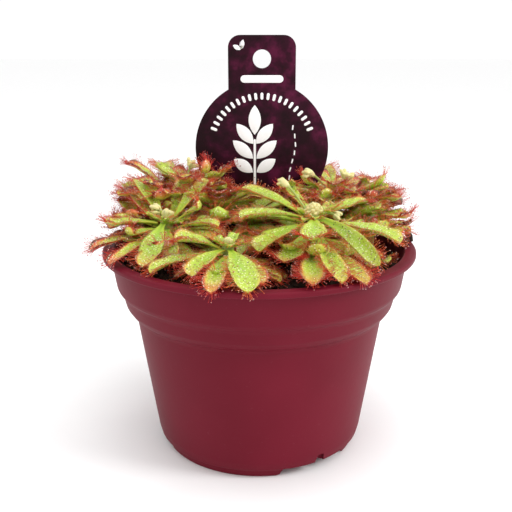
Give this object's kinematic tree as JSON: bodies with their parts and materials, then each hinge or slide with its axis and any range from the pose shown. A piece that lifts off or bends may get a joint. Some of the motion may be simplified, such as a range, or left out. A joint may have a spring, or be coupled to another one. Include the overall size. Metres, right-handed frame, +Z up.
{
  "type": "potted sundew",
  "caption": "Round plastic nursery pot of peat with clustered rosettes of sticky sundew leaves and a round-headed plant label on a stake.",
  "frame": {"origin": "centre of the underside of the foot ring, on the pot's axis", "axes": "+Z up along the pot's axis; -Y is the front, the side that the label's printed face looks to; +X is to the right seen from the front"},
  "size_m": [0.0919, 0.0912, 0.1189],
  "materials": {
    "pot_plastic": "satin",
    "peat": "matte",
    "label_card": "satin",
    "label_print": "satin",
    "leaf": "satin",
    "stem": "satin",
    "flower_bud": "matte",
    "tentacle": "satin",
    "dew": "gloss"
  },
  "bodies": {
    "root": {"pot": "pot_plastic", "peat_soil": "peat", "plant_label": "label_card", "crown_left": "stem", "crown_right": "stem", "crown_front": "stem", "crown_right_side": "stem", "crown_back_left": "stem", "crown_back_right": "stem", "flower_stalk_1": "flower_bud", "flower_stalk_2": "flower_bud", "flower_stalk_3": "flower_bud", "flower_stalk_4": "flower_bud", "flower_stalk_5": "flower_bud", "flower_stalk_6": "flower_bud", "leaf_left_1": "leaf", "leaf_left_2": "leaf", "leaf_left_3": "leaf", "leaf_left_4": "leaf", "leaf_left_5": "leaf", "leaf_left_6": "leaf", "leaf_left_7": "leaf", "leaf_left_8": "leaf", "leaf_left_9": "leaf", "leaf_left_10": "leaf", "leaf_left_11": "leaf", "leaf_left_12": "leaf", "leaf_left_13": "leaf", "leaf_right_1": "leaf", "leaf_right_2": "leaf", "leaf_right_3": "leaf", "leaf_right_4": "leaf", "leaf_right_5": "leaf", "leaf_right_6": "leaf", "leaf_right_7": "leaf", "leaf_right_8": "leaf", "leaf_right_9": "leaf", "leaf_right_10": "leaf", "leaf_right_11": "leaf", "leaf_right_12": "leaf", "leaf_right_13": "leaf", "leaf_right_14": "leaf", "leaf_right_15": "leaf", "leaf_front_1": "leaf", "leaf_front_2": "leaf", "leaf_front_3": "leaf", "leaf_front_4": "leaf", "leaf_front_5": "leaf", "leaf_front_6": "leaf", "leaf_right_side_1": "leaf", "leaf_right_side_2": "leaf", "leaf_back_left_1": "leaf", "leaf_back_left_2": "leaf", "leaf_back_left_3": "leaf", "leaf_back_left_4": "leaf", "leaf_back_left_5": "leaf", "leaf_back_right_1": "leaf", "leaf_back_right_2": "leaf", "leaf_back_right_3": "leaf", "leaf_back_right_4": "leaf"}
  },
  "joints": []
}
